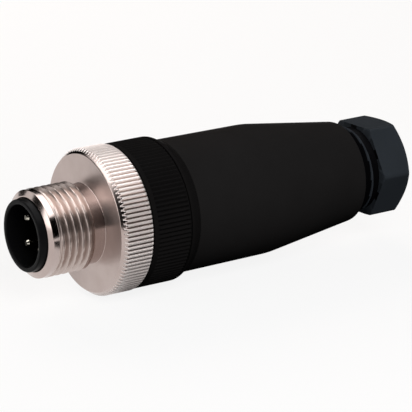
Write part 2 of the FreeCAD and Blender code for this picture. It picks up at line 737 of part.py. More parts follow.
def make_thrust_washer():
    """Thin washer that lets the cage press the seal without turning it."""
    return turned_body("thrust_washer", [
        (washer_front, "washer_hole"),
        (washer_front, "seal_radius"),
        (washer_back, "seal_radius"),
        (washer_back, "washer_hole")])


def make_clamping_cage():
    """Ring with springy fingers that the pressing screw closes on the cable."""
    body = turned_body("clamping_cage", [
        (cage_front, "cage_hole"),
        (cage_front, "seal_radius"),
        (cage_rim_back, "seal_radius"),
        (cage_rim_back, "cage_finger_radius"),
        (less(cage_end, "tip_bevel_length"), "cage_tip_radius"),
        (cage_end, less("cage_tip_radius", "tip_bevel_drop")),
        (cage_end, "cage_hole")])

    def slot(sketch):
        half = "(cage_slot_width / 2)"
        low = less("cage_hole", "tip_wall")
        draw_outline(sketch, [
            (less("0", half), low), (half, low), (half, "seal_radius"), (less("0", half), "seal_radius")])
    cut = cut_along_x(body, "slot", slot, add(cage_rim_back, "slip"), "cage_finger_length")
    repeat(body, cut, "cage_slots")
    return body


def make_pressing_screw():
    """Hexagon-headed hollow screw that closes the gland round the cable."""
    mouth_back = add(press_front, "press_mouth_length")
    cone_back = add(mouth_back, "press_cone_length")
    body = turned_body("pressing_screw", [
        (press_front, "press_mouth_radius"),
        (press_front, less("gland_thread_radius", "press_edge")),
        (add(press_front, "press_edge"), "gland_thread_radius"),
        (press_thread_end, "gland_thread_radius"),
        (press_thread_end, "press_neck_radius"),
        (hex_front, "press_neck_radius"),
        (hex_front, "hex_front_radius"),
        (add(hex_front, "hex_front_bevel"), "hex_corner_radius"),
        (less(hex_back, "hex_back_bevel"), "hex_corner_radius"),
        (hex_back, "hex_back_radius"),
        (hex_back, add("press_bore", "press_entry_bevel")),
        (less(hex_back, "press_entry_bevel"), "press_bore"),
        (cone_back, "press_bore"),
        (mouth_back, "press_mouth_radius")])

    def outside_hexagon(sketch):
        corner = "(hex_flat / cos(180 / hex_sides))"
        points = []
        for side in range(int(size("hex_sides"))):
            angle = "(360 / hex_sides * %d - hex_turn)" % side
            points.append((corner + " * cos(" + angle + ")", corner + " * sin(" + angle + ")"))
        draw_outline(sketch, points)
        draw_circle(sketch, "0", "0", add(corner, "slip"))
    cut_along_x(body, "hexagon", outside_hexagon, hex_front, "hex_length + slip")
    return body


pieces = [make_contact_insert(), make_coupling_nut(), make_grip_ring(), make_terminal_carrier()]
for number in range(int(size("pin_count"))):
    pieces.append(make_contact(number))
    pieces.append(make_terminal_screw(number))
neck_seal_station = add(cup_back, "seal_groove_back", "(seal_groove_width / 2)")
pieces.append(ring_seal(
    "neck_seal", add("neck_radius", "running_fit", "(0 - neck_seal_section)", "(0 - seat_fit)"),
    "neck_seal_section", neck_seal_station))
joint_seal_station = add(housing_front, "joint_seal_back", "(joint_seal_groove / 2)")
pieces.append(ring_seal(
    "joint_seal", add("spigot_radius", "joint_seal_section", "seat_fit"),
    "joint_seal_section", joint_seal_station))
pieces += [make_rear_housing(), make_cable_seal(), make_thrust_washer(), make_clamping_cage()]
pieces.append(make_pressing_screw())
doc.recompute()

for thing in doc.Objects:
    if "Invalid" in thing.State or "Error" in thing.State:
        raise RuntimeError(thing.Name + " failed: " + str(thing.State))
for piece in pieces:
    shape = piece.Shape
    if shape.isNull() or not shape.isValid() or len(shape.Solids) != 1:
        raise RuntimeError(piece.Label + " is not one whole solid")

os.makedirs("parts", exist_ok=True)
for piece in pieces:
    piece.Shape.exportStep("parts/%s.step" % piece.Label)
    solid = piece.Shape.Solids[0]
    print("%-18s volume %8.2f  x %7.2f to %7.2f  centre x %6.2f" % (
        piece.Label, solid.Volume, solid.BoundBox.XMin, solid.BoundBox.XMax, solid.CenterOfMass.x))
print("ok", len(pieces), "pieces")
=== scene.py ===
# %% [markdown]
# # A cable connector with a screw ring
# The part is a round cable connector, about 59 mm long. A nickel-plated brass ring screws it to its socket, a
# knurled black ring and a tapered black case hold the terminals, and a hexagonal screw closes the cable gland.
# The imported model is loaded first. It is the fixed frame: each new surface goes where the frame says.

# %% Load the frame
import math

import bmesh
import bpy
import numpy as np
from mathutils import Euler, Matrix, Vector


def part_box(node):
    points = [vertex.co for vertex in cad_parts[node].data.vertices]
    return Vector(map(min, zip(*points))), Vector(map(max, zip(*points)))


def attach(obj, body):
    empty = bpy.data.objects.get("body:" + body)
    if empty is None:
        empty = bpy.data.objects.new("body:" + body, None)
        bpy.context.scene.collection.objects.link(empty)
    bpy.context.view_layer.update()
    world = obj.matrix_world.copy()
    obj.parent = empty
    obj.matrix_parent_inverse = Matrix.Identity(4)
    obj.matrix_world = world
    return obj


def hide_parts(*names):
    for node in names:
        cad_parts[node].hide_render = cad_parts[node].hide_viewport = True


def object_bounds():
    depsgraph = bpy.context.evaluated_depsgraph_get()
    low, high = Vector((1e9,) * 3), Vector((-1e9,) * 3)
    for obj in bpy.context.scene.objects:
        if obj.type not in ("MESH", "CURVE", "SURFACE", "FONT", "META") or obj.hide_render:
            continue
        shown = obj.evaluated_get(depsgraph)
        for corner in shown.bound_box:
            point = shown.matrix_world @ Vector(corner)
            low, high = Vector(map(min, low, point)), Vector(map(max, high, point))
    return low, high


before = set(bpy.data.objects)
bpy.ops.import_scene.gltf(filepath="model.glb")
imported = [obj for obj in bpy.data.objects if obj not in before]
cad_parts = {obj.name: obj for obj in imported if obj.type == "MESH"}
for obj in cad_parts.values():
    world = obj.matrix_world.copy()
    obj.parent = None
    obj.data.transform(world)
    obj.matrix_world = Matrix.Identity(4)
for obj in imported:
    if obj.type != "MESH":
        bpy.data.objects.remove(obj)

cad_low, cad_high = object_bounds()
print("frame from", tuple(cad_low), "to", tuple(cad_high))

# %% [markdown]
# All sizes below are millimetres, as on a drawing, and become metres in one place. Colours are written as sRGB hex
# values, the way a colour picker shows them, and one function turns them to the linear values that shaders need.

# %% Units and colours
MM = 0.001


def linear(hex_colour):
    """Linear RGBA of an sRGB hex colour: c / 12.92 below 0.04045, else ((c + 0.055) / 1.055) ** 2.4."""
    channels = []
    for start in (0, 2, 4):
        value = int(hex_colour.lstrip("#")[start:start + 2], 16) / 255
        channels.append(value / 12.92 if value < 0.04045 else ((value + 0.055) / 1.055) ** 2.4)
    return (*channels, 1.0)


# %% [markdown]
# ## The camera
# The photograph was taken from a long way off with a long lens: the ellipses of the rings hardly change along the
# part. Fitting those ellipses gave an 8 degree field of view, from 18.4 degrees above level and 33.3 degrees round
# from the side towards the pins. The camera is set first, because everything else is judged through it.

# %% Camera
CAMERA_FIELD = 8.0
CAMERA_AZIMUTH = -33.3
CAMERA_ELEVATION = 18.4
CAMERA_DISTANCE = 386.4
CAMERA_TARGET = (18.98, -12.23, 3.75)

camera_data = bpy.data.cameras.new("camera")
camera_data.sensor_fit = "HORIZONTAL"
camera_data.angle = math.radians(CAMERA_FIELD)
camera_data.clip_start = 0.01
camera = bpy.data.objects.new("camera", camera_data)
bpy.context.scene.collection.objects.link(camera)
camera.rotation_euler = Euler((math.radians(90 - CAMERA_ELEVATION), 0, math.radians(CAMERA_AZIMUTH)))
backwards = camera.rotation_euler.to_matrix() @ Vector((0, 0, 1))
camera.location = (Vector(CAMERA_TARGET) + backwards * CAMERA_DISTANCE) * MM
bpy.context.scene.camera = camera
print("camera at", tuple(round(v, 4) for v in camera.location))

# %% [markdown]
# ## Surfaces of revolution
# Nearly every piece here was turned on a lathe or moulded in a turned cavity, so a piece is a closed outline of
# (station along X, radius) carried round the X axis. The outline's corners are rounded a little, as plating and
# moulding leave them. What isn't round, such as a thread, a knurl or a hexagon, then changes the radius by a
# formula of the angle and the station, and needs shorter rows there.

# %% Outline helpers
CORNER_STEPS = 4


def outline(corners):
    """Rows of (station, radius) along a closed outline.

    Each corner is (station, radius, rounding). A corner P between A and B becomes the quadratic curve
    (1-u)^2 * P1 + 2u(1-u) * P + u^2 * P2, where P1 and P2 lie on the two sides at the rounding's distance.
    """
    points = np.array([corner[:2] for corner in corners], float)
    rounding = np.array([corner[2] if len(corner) > 2 else 0.0 for corner in corners])
    rows = []
    count = len(points)
    for number in range(count):
        here, before, after = points[number], points[number - 1], points[(number + 1) % count]
        to_before = (before - here) / np.linalg.norm(before - here)
        to_after = (after - here) / np.linalg.norm(after - here)
        cut = min(rounding[number], np.linalg.norm(before - here) / 2, np.linalg.norm(after - here) / 2)
        if cut > 0:
            share = np.linspace(0, 1, CORNER_STEPS + 1)[:, None]
            first, last = here + to_before * cut, here + to_after * cut
            curve = (1 - share) ** 2 * first + 2 * share * (1 - share) * here + share ** 2 * last
            rows.extend(curve)
        else:
            rows.append(here)
    return np.array(rows)


def divide(rows, spacing):
    """Divide each side of a closed outline evenly, into parts no longer than spacing(start, end)."""
    divided = []
    for number, start in enumerate(rows):
        end = rows[(number + 1) % len(rows)]
        parts = max(1, int(math.ceil(np.linalg.norm(end - start) / spacing(start, end))))
        divided.append(start + (end - start) * (np.arange(parts)[:, None] / parts))
    return np.concatenate(divided)


def even_angles(count):
    """Angles round the X axis, from +Y towards +Z, evenly spaced."""
    return np.arange(count) * 2 * math.pi / count


# %% [markdown]
# A grid of points becomes a mesh in one step. Both directions of the grid close on themselves, so the surface has
# no open edge. Rows that meet on the axis are merged into one point, and the signed volume tells whether the faces
# look outwards.

# %% Grid to mesh
SMOOTH_LIMIT = 32.0
MERGE_DISTANCE = 1e-7


def grid_mesh(name, stations, radii, angles):
    """Closed surface through x = station, y = radius * cos(angle), z = radius * sin(angle), in metres."""
    x, r, a = np.broadcast_arrays(stations, radii, angles)
    points = np.stack([x, r * np.cos(a), r * np.sin(a)], axis=-1) * MM
    rows, columns = x.shape
    index = np.arange(rows * columns).reshape(rows, columns)
    right = np.roll(index, -1, axis=1)
    below = np.roll(index, -1, axis=0)
    corner = np.roll(right, -1, axis=0)
    quads = np.stack([index, right, corner, below], axis=-1).reshape(-1, 4)
    flat = points.reshape(-1, 3)
    one, two, three, four = (flat[quads[:, side]] for side in range(4))
    volume = np.einsum("ij,ij->", one, np.cross(two, three)) + np.einsum("ij,ij->", one, np.cross(three, four))
    if volume < 0:
        quads = quads[:, ::-1]
    mesh = bpy.data.meshes.new(name)
    mesh.from_pydata(flat.tolist(), [], quads.tolist())
    mesh.update()
    return mesh


def finish_mesh(mesh):
    """Merge the points that meet, drop faces without area, and keep edges sharper than the limit sharp."""
    work = bmesh.new()
    work.from_mesh(mesh)
    bmesh.ops.remove_doubles(work, verts=work.verts, dist=MERGE_DISTANCE)
    bmesh.ops.dissolve_degenerate(work, edges=work.edges, dist=MERGE_DISTANCE)
    work.to_mesh(mesh)
    work.free()
    mesh.shade_smooth()
    mesh.set_sharp_from_angle(angle=math.radians(SMOOTH_LIMIT))
    return mesh


def piece(name, mesh, material, body, slot, *nodes):
    """Show a mesh as a piece of the object: it rides on a body and stands for the frame's nodes."""
    made = bpy.data.objects.new(name, mesh)
    bpy.context.scene.collection.objects.link(made)
    mesh.materials.append(material)
    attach(made, body)
    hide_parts(*nodes)
    print(name, len(mesh.polygons), "faces")
    return made


def face_centres(mesh):
    """Stations and radii of the middles of the faces, in millimetres."""
    centres = np.zeros(len(mesh.polygons) * 3)
    mesh.polygons.foreach_get("center", centres)
    centres = centres.reshape(-1, 3) / MM
    return centres[:, 0], np.hypot(centres[:, 1], centres[:, 2])


def other_finish(mesh, material, chosen):
    """Give the chosen faces a material of their own."""
    mesh.materials.append(material)
    finishes = np.zeros(len(mesh.polygons), np.int32)
    mesh.polygons.foreach_get("material_index", finishes)
    finishes[chosen] = len(mesh.materials) - 1
    mesh.polygons.foreach_set("material_index", finishes)


# %% [markdown]
# ## Materials
# Every finish is a Principled shader with its pattern on Object coordinates, so it stays with the piece in any
# view. One function adds a node with its settings and its links.

# %% Node helper
def add_node(tree, kind, settings=None, links=None):
    """Add a node. Settings name its sockets or its properties, links name sockets and where they come from."""
    node = tree.nodes.new(kind)
    for name, value in (settings or {}).items():
        if isinstance(name, int) or name in node.inputs:
            node.inputs[name].default_value = value
        else:
            setattr(node, name, value)
    for name, source in (links or {}).items():
        tree.links.new(source, node.inputs[name])
    return node


def new_material(name):
    """An empty material, with its node tree."""
    material = bpy.data.materials.new(name)
    material.use_nodes = True
    material.node_tree.nodes.clear()
    return material, material.node_tree


# %% [markdown]
# ### Nickel-plated brass
# The ring is brass, plated with bright nickel: a warm silver. How each place was cut gives its finish. The tool
# leaves fine rings round the axis, a few hundredths of a millimetre apart, which stretch each reflection out across
# themselves. They are drawn at 0.12 mm, coarse enough to show at this size.

# %% Nickel
TURNING_MARK = 0.12
PLATING_CLOUD = 2.5
TURNING_DEPTH = 0.02


def nickel_plated_brass(name, dark, light, smooth, dull, stretch, metallic):
    """Plated brass with turning marks.

    Dark and light are the colours of its soft clouds, smooth and dull its roughness across the marks, and stretch
    is how far the marks draw a reflection out. Below 1, metallic leaves a share of matt colour, which on the knurl
    is painted sheen.
    """
    material, tree = new_material(name)
    place = add_node(tree, "ShaderNodeTexCoord")
    across = add_node(tree, "ShaderNodeMapping", {"Scale": (0, 1, 1)}, {"Vector": place.outputs["Object"]})
    radius = add_node(tree, "ShaderNodeVectorMath", {"operation": "LENGTH"}, {0: across.outputs[0]})
    along = add_node(tree, "ShaderNodeSeparateXYZ", {}, {"Vector": place.outputs["Object"]})
    path = add_node(tree, "ShaderNodeMath", {"operation": "ADD"},
                    {0: radius.outputs["Value"], 1: along.outputs["X"]})
    marks = add_node(tree, "ShaderNodeTexNoise", {
        "noise_dimensions": "1D", "Scale": 1 / (TURNING_MARK * MM), "Detail": 2.0}, {"W": path.outputs[0]})
    cloud = add_node(tree, "ShaderNodeTexNoise", {"Scale": 1 / (PLATING_CLOUD * MM), "Detail": 3.0},
                     {"Vector": place.outputs["Object"]})
    colour = add_node(tree, "ShaderNodeMix", {"data_type": "RGBA", 6: linear(dark), 7: linear(light)},
                      {0: cloud.outputs["Fac"]})
    rough = add_node(tree, "ShaderNodeMapRange", {"To Min": smooth, "To Max": dull},
                     {"Value": marks.outputs["Fac"]})
    bump = add_node(tree, "ShaderNodeBump", {"Strength": 0.10, "Distance": TURNING_DEPTH * MM},
                    {"Height": marks.outputs["Fac"]})
    ring = add_node(tree, "ShaderNodeTangent", {"direction_type": "RADIAL", "axis": "X"})
    shader = add_node(tree, "ShaderNodeBsdfPrincipled", {
        "Metallic": metallic, "Anisotropic": stretch, "Anisotropic Rotation": 0.25}, {
        "Base Color": colour.outputs[2], "Roughness": rough.outputs[0],
        "Normal": bump.outputs[0], "Tangent": ring.outputs[0]})
    add_node(tree, "ShaderNodeOutputMaterial", {}, {"Surface": shader.outputs[0]})
    return material


# Turned bright: the sharpest reflections, drawn out along the axis, on the lead, the land and the undercut
nickel = nickel_plated_brass("nickel_plated_turned_brass", "#b09f99", "#c4b6b1", 0.13, 0.24, 0.7, 1.0)
# Knurl: the crests are pressed, not cut, and duller than the cut metal. Their near white colour, lighter than the
# plated nickel, and their half matt share are a painted sheen for the bright reflection they show from all sides
knurl_painted_sheen_nickel = nickel_plated_brass("nickel_plated_knurl_painted_sheen", "#e2d8d4", "#f0e7e4", 0.36, 0.46, 0.0, 0.5)
# Faced: the coarsest tool marks, which spread each lamp into a fan on the flange's face
faced_nickel = nickel_plated_brass("nickel_plated_faced_flange", "#b09f99", "#c4b6b1", 0.28, 0.36, 0.88, 1.0)
# Cut: the thread is a little duller than the lead, and the bottoms of the knurl's grooves look the same
threaded_nickel = nickel_plated_brass("nickel_plated_cut_thread", "#b09f98", "#c6b8b2", 0.24, 0.34, 0.45, 0.95)

# %% [markdown]
# ### Black moulded plastics
# The case, the grip and the gland are injection moulded polyamide. The cavity of the mould is spark eroded, which
# leaves a fine even grain that scatters light widely, so the plastic has hardly any highlight. The gland's plastic
# is a slate grey, a little lighter and bluer than the rest. The insert is made of a harder plastic in a polished
# cavity and is smoother. All are near black, but none is pure black.

# %% Plastics
MOULDING_CLOUD = 6.0
PLASTIC_IOR = 1.53
ROUGHNESS_SPREAD = 0.05


def moulded_plastic(name, dark, light, roughness, grain, bump_height, specular):
    """Moulded plastic: two near colours in soft clouds, and an even grain of that size in millimetres."""
    material, tree = new_material(name)
    place = add_node(tree, "ShaderNodeTexCoord")
    cloud = add_node(tree, "ShaderNodeTexNoise", {"Scale": 1 / (MOULDING_CLOUD * MM), "Detail": 3.0},
                     {"Vector": place.outputs["Object"]})
    skin = add_node(tree, "ShaderNodeTexNoise", {"Scale": 1 / (grain * MM), "Detail": 4.0, "Roughness": 0.6},
                    {"Vector": place.outputs["Object"]})
    colour = add_node(tree, "ShaderNodeMix", {"data_type": "RGBA", 6: linear(dark), 7: linear(light)},
                      {0: cloud.outputs["Fac"]})
    rough = add_node(tree, "ShaderNodeMapRange", {
        "To Min": roughness - ROUGHNESS_SPREAD, "To Max": roughness + ROUGHNESS_SPREAD},
        {"Value": skin.outputs["Fac"]})
    bump = add_node(tree, "ShaderNodeBump", {"Strength": 0.35, "Distance": bump_height * MM},
                    {"Height": skin.outputs["Fac"]})
    shader = add_node(tree, "ShaderNodeBsdfPrincipled", {"IOR": PLASTIC_IOR, "Specular IOR Level": specular}, {
        "Base Color": colour.outputs[2], "Roughness": rough.outputs[0], "Normal": bump.outputs[0]})
    add_node(tree, "ShaderNodeOutputMaterial", {}, {"Surface": shader.outputs[0]})
    return material


# Eroded cavity: an even, soft black
case_plastic = moulded_plastic("eroded_black_polyamide", "#1a1919", "#1f1e1e", 0.5, 0.25, 0.02, 0.004)
# Painted shade: the same moulding with a knurl, coloured a deeper black than the case for the shade in its grooves
grip_painted_shade_plastic = moulded_plastic("knurled_black_polyamide_painted_shade", "#111010", "#151414", 0.5, 0.25, 0.02, 0.004)
# Satin slate, with a weak sheen that tells the hexagon's flats apart
gland_plastic = moulded_plastic("satin_slate_polyamide", "#262a2e", "#2d3136", 0.45, 0.35, 0.015, 0.015)
# Painted shade: near black for the valleys of the gland's thread and for its neck, where hardly any light comes
# back out
valley_painted_shade_plastic = moulded_plastic("slate_polyamide_painted_shade", "#040405", "#08080a", 0.5, 0.35, 0.015, 0.02)
# Polished cavity: the glossiest of the plastics, with a narrow highlight on the cup's rim
insert_plastic = moulded_plastic("polished_black_plastic", "#0c0c0d", "#121213", 0.3, 0.5, 0.006, 0.04)
# Rubber: dull and grey
seal_rubber = moulded_plastic("moulded_black_rubber", "#161616", "#1d1d1d", 0.75, 0.2, 0.03, 0.05)

# %% [markdown]
# ### Bright metals of the contacts and the terminal screws
# The pins are turned brass with a bright plating, and the little terminal screws are zinc plated steel, blue-white
# and a little duller.

# %% Small metals
METAL_SPREAD = 0.06
METAL_DEPTH = 0.01


def plated_metal(name, colour_hex, roughness, mark):
    """Plated metal with fine noise in its roughness, at the size of the tool marks in millimetres."""
    material, tree = new_material(name)
    place = add_node(tree, "ShaderNodeTexCoord")
    marks = add_node(tree, "ShaderNodeTexNoise", {"Scale": 1 / (mark * MM), "Detail": 2.0},
                     {"Vector": place.outputs["Object"]})
    rough = add_node(tree, "ShaderNodeMapRange", {
        "To Min": roughness - METAL_SPREAD, "To Max": roughness + METAL_SPREAD}, {"Value": marks.outputs["Fac"]})
    bump = add_node(tree, "ShaderNodeBump", {"Strength": 0.2, "Distance": METAL_DEPTH * MM},
                    {"Height": marks.outputs["Fac"]})
    shader = add_node(tree, "ShaderNodeBsdfPrincipled", {"Metallic": 1.0, "Base Color": linear(colour_hex)},
                      {"Roughness": rough.outputs[0], "Normal": bump.outputs[0]})
    add_node(tree, "ShaderNodeOutputMaterial", {}, {"Surface": shader.outputs[0]})
    return material


contact_metal = plated_metal("plated_turned_contact", "#c9c4b8", 0.22, 0.1)
screw_metal = plated_metal("zinc_plated_steel", "#b4b9c0", 0.35, 0.15)

# %% [markdown]
# ## The screw ring
# The ring is one turned piece: a lead bevel, a plain land, the M12 x 1 thread, an undercut, and a flange with a
# straight knurl. The thread is right-handed. Its height at a point depends only on how far the point is from the
# nearest crest, and the crest is a helix: it moves one pitch along X for each turn from +Y towards +Z.

# %% Thread and knurl formulas
CREST_FLAT, ROOT_FLAT = 1 / 16, 7 / 16
THREAD_DEPTH = 0.866 * 17 / 24
NEAR = 0.01


def thread_limit(stations, angles, crest_radius, pitch, start, end, run_out):
    """Radius of a thread's surface.

    The distance to the nearest crest, in pitches, is c = |p - round(p)| with p = (x - start) / pitch - angle / 2pi.
    The surface falls from the crest's flat (c < 1/16) to the root's flat (c > 7/16) by 17/24 of the sharp V's
    height, 0.866 pitch. The depth fades in behind start and out before end over the run-out.
    """
    phase = (stations - start) / pitch - angles / (2 * math.pi)
    distance = np.abs(phase - np.round(phase))
    fall = np.clip((distance - CREST_FLAT) / (ROOT_FLAT - CREST_FLAT), 0, 1)
    fade = np.clip((stations - start) / run_out, 0, 1) * np.clip((end - stations) / run_out, 0, 1)
    return crest_radius - THREAD_DEPTH * pitch * fall * fade


def knurl_columns(count, width, radius):
    """Angles of a straight knurl's columns: across each groove, and the middle of the next crest."""
    step = 2 * math.pi / count
    half = width / 2 / radius
    columns = np.array([-half, -half / 2, 0, half / 2, half, step / 2])
    return (np.arange(count)[:, None] * step + columns).ravel() + math.pi / 2


def knurl_limit(angles, count, width, depth, radius):
    """Radius of the V grooves: radius - depth at a groove's bottom, rising evenly past its edges."""
    step = 2 * math.pi / count
    offset = (angles - math.pi / 2 + step / 2) % step - step / 2
    return radius - depth + depth * np.abs(offset) * radius / (width / 2)


# %% [markdown]
# The knurl's grooves run out in the flange's front bevel. There they carry the knurl's near white painted sheen and
# leave light triangles with the mirror-bright bevel between them, which the photograph shows as a row of dark saw
# teeth.

# %% Screw ring
THREAD_CREST = 6.0
THREAD_PITCH = 1.0
THREAD_START, THREAD_END = 0.45, 5.7
# The thread's depth fades over this length, and ends this far past the last crest
THREAD_FADE, THREAD_OVERRUN = 0.35, 0.2
THREAD_ROWS = 18
LEAD_EDGE = 5.15
LAND_FRONT, LAND_BACK, LEAD_LAND = -0.5, 0.4, 5.95
UNDERCUT, UNDERCUT_TAPER = 5.45, 0.3
FLANGE_FACE = 7.7
FLANGE = 10.0
FLANGE_BEVEL, FLANGE_EDGE = 0.8, 9.4
BACK_BEVEL = 0.2
# Rows are at most this long, and on the bevel this short. Plain ones aren't divided again
LONGEST_ROW, BEVEL_ROW, PLAIN_ROW = 3.0, 0.1, 10
NUT_BORE = 5.0
NECK_BORE = 4.43
POCKET = 8.15
STEP_FRONT, STEP_BACK = 7.1, 9.4
KNURLS = 100
KNURL_WIDTH = 0.42
KNURL_DEPTH = 0.36
# Nothing inside this radius is knurled
KNURL_INSIDE = 9.0
PLATED_EDGE = 0.08

nut_low, nut_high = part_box("coupling_nut")
nut_front, nut_back = nut_low.x / MM, nut_high.x / MM
bevel_back = FLANGE_FACE + FLANGE_BEVEL
nut_rows = outline([
    (nut_front, NUT_BORE, PLATED_EDGE),
    (nut_front, LEAD_EDGE, PLATED_EDGE),
    (LAND_FRONT, LEAD_LAND, PLATED_EDGE),
    (LAND_BACK, LEAD_LAND),
    (THREAD_START, THREAD_CREST),
    (THREAD_END, THREAD_CREST, PLATED_EDGE),
    (THREAD_END + UNDERCUT_TAPER, UNDERCUT, 0.1),
    (FLANGE_FACE, UNDERCUT, PLATED_EDGE),
    (FLANGE_FACE, FLANGE_EDGE, PLATED_EDGE),
    (bevel_back, FLANGE, PLATED_EDGE),
    (nut_back - BACK_BEVEL, FLANGE, PLATED_EDGE),
    (nut_back, FLANGE - BACK_BEVEL, PLATED_EDGE),
    (nut_back, POCKET, PLATED_EDGE),
    (STEP_BACK, POCKET),
    (STEP_BACK, NECK_BORE),
    (STEP_FRONT, NECK_BORE),
    (STEP_FRONT, NUT_BORE)])


def ring_spacing(start, end):
    """Short rows where the thread and the knurl's bevel need them."""
    first, last, lowest = min(start[0], end[0]), max(start[0], end[0]), min(start[1], end[1])
    if lowest > THREAD_CREST - 2 * NEAR and last <= THREAD_END + NEAR:
        return THREAD_PITCH / THREAD_ROWS
    if lowest > UNDERCUT + NEAR and FLANGE_FACE - NEAR <= first <= bevel_back and end[1] > FLANGE_EDGE:
        return BEVEL_ROW
    return PLAIN_ROW


nut_rows = divide(divide(nut_rows, lambda start, end: LONGEST_ROW), ring_spacing)
nut_angles = knurl_columns(KNURLS, KNURL_WIDTH, FLANGE)
x = nut_rows[:, :1]
r = np.repeat(nut_rows[:, 1:], len(nut_angles), axis=1)
turned_outside = nut_rows[:, 1:] > UNDERCUT + NEAR / 2
on_thread = turned_outside & (x >= -NEAR) & (x <= THREAD_END + NEAR)
on_flange = turned_outside & (x >= FLANGE_FACE - NEAR) & (nut_rows[:, 1:] > KNURL_INSIDE)
thread = thread_limit(x, nut_angles[None, :], THREAD_CREST, THREAD_PITCH,
                      THREAD_START, THREAD_END + THREAD_OVERRUN, THREAD_FADE)
r = np.where(on_thread, np.minimum(r, thread), r)
grooves = knurl_limit(nut_angles[None, :], KNURLS, KNURL_WIDTH, KNURL_DEPTH, FLANGE)
r = np.where(on_flange, np.minimum(r, grooves), r)
nut_mesh = finish_mesh(grid_mesh("screw_ring", x, r, nut_angles[None, :]))
piece("screw_ring", nut_mesh, nickel, "screw_ring", "nickel_brass", "coupling_nut")

# %% [markdown]
# The ring's four finishes go by where a face's middle is. On the bevel, only what lies under the bevel's own cone
# is a groove, and it gets the knurl's near white painted sheen. Behind the bevel, the crest and the upper part of
# each groove get that painted sheen too, and the bottom keeps the plain nickel of the cut finish.

# %% The ring's finishes
# Margins in millimetres, and the share of a groove's depth that gets the knurl's painted sheen
GROOVE_SKIN = 0.02
SHEEN_SETBACK = 0.1
SHEEN_SHARE = 0.6
BORE_SKIN = 0.2

station, radius = face_centres(nut_mesh)
cone = FLANGE_EDGE + (station - FLANGE_FACE) / FLANGE_BEVEL * (FLANGE - FLANGE_EDGE)
painted_sheen_faces = (station > bevel_back) | (radius < cone - GROOVE_SKIN)
painted_sheen_faces &= (station > FLANGE_FACE + SHEEN_SETBACK) & (radius > FLANGE_EDGE)
painted_sheen_faces &= (radius > FLANGE - SHEEN_SHARE * KNURL_DEPTH) | (station < bevel_back)
other_finish(nut_mesh, knurl_painted_sheen_nickel, painted_sheen_faces)
faced = (np.abs(station - FLANGE_FACE) < NEAR) & (radius > UNDERCUT)
other_finish(nut_mesh, faced_nickel, faced)
cut = (station > LAND_BACK) & (station < THREAD_END) & (radius > NUT_BORE + BORE_SKIN)
cut |= (station > bevel_back) & (radius > FLANGE_EDGE) & ~painted_sheen_faces
other_finish(nut_mesh, threaded_nickel, cut)

# %% [markdown]
# ## The grip ring
# The black ring is moulded with as many grooves as the metal one. It starts with a smooth edge, a fine line
# finishes the knurl's back end, and a bevel leads down to the case. Behind it are the spigot for the seal and the
# thread that the case screws on, which show when the case is unscrewed.

# %% Grip ring
GRIP = 9.9
GRIP_END = 9.2
GRIP_GAP, GRIP_COLLAR = 0.15, 0.65
GRIP_KNURL, GRIP_LINE, GRIP_LAND, GRIP_BEVEL = 5.05, 0.2, 0.55, 1.3
GRIP_GROOVE, GRIP_DEPTH = 0.5, 0.3
GRIP_WEB = 3.6
SPIGOT, SPIGOT_LENGTH = 7.7, 2.4
CASE_THREAD, CASE_PITCH = 7.4, 1.0
CASE_FADE, CASE_OVERRUN = 0.4, 0.2
CASE_ROW, GRIP_ROW = 0.1, 2.0
CARRIER_BORE = 6.33
BOSS = 8.07

grip_low, grip_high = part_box("grip_ring")
grip_boss, grip_tail = grip_low.x / MM, grip_high.x / MM
grip_front = nut_back + GRIP_GAP
knurl_front = grip_front + GRIP_COLLAR
knurl_back = knurl_front + GRIP_KNURL
grip_back = knurl_back + GRIP_LAND + GRIP_BEVEL
spigot_end = grip_back + SPIGOT_LENGTH
grip_rows = outline([
    (grip_boss, NECK_BORE),
    (grip_boss, BOSS, 0.05),
    (grip_front, BOSS),
    (grip_front, GRIP, 0.14),
    (knurl_front, GRIP),
    (knurl_front + NEAR, GRIP),
    (knurl_back, GRIP),
    (knurl_back, GRIP - GRIP_DEPTH, 0.03),
    (knurl_back + GRIP_LINE, GRIP - GRIP_DEPTH, 0.03),
    (knurl_back + GRIP_LINE, GRIP, 0.05),
    (knurl_back + GRIP_LAND, GRIP, 0.3),
    (grip_back, GRIP_END, 0.12),
    (grip_back, SPIGOT),
    (spigot_end, SPIGOT, 0.05),
    (spigot_end, CASE_THREAD),
    (grip_tail, CASE_THREAD, 0.1),
    (grip_tail, CARRIER_BORE),
    (grip_boss + GRIP_WEB, CARRIER_BORE),
    (grip_boss + GRIP_WEB, NECK_BORE)])


def grip_spacing(start, end):
    """Short rows where the thread needs them."""
    threaded = min(start[0], end[0]) >= spigot_end - NEAR and min(start[1], end[1]) > CASE_THREAD - NEAR
    return CASE_ROW if threaded else GRIP_ROW


grip_rows = divide(grip_rows, grip_spacing)
grip_angles = knurl_columns(KNURLS, GRIP_GROOVE, GRIP)
x = grip_rows[:, :1]
r = np.repeat(grip_rows[:, 1:], len(grip_angles), axis=1)
on_knurl = (x > knurl_front + NEAR / 2) & (x < knurl_back + NEAR / 2) & (grip_rows[:, 1:] > GRIP - NEAR)
grooves = knurl_limit(grip_angles[None, :], KNURLS, GRIP_GROOVE, GRIP_DEPTH, GRIP)
r = np.where(on_knurl, np.minimum(r, grooves), r)
on_thread = (x > spigot_end + 2 * NEAR) & (grip_rows[:, 1:] > CASE_THREAD - NEAR)
thread = thread_limit(x, grip_angles[None, :], CASE_THREAD, CASE_PITCH,
                      spigot_end, grip_tail + CASE_OVERRUN, CASE_FADE)
r = np.where(on_thread, np.minimum(r, thread), r)
grip_mesh = finish_mesh(grid_mesh("grip_ring_moulding", x, r, grip_angles[None, :]))
piece("grip_ring_moulding", grip_mesh, grip_painted_shade_plastic, "connector_body", "black_polyamide", "grip_ring")
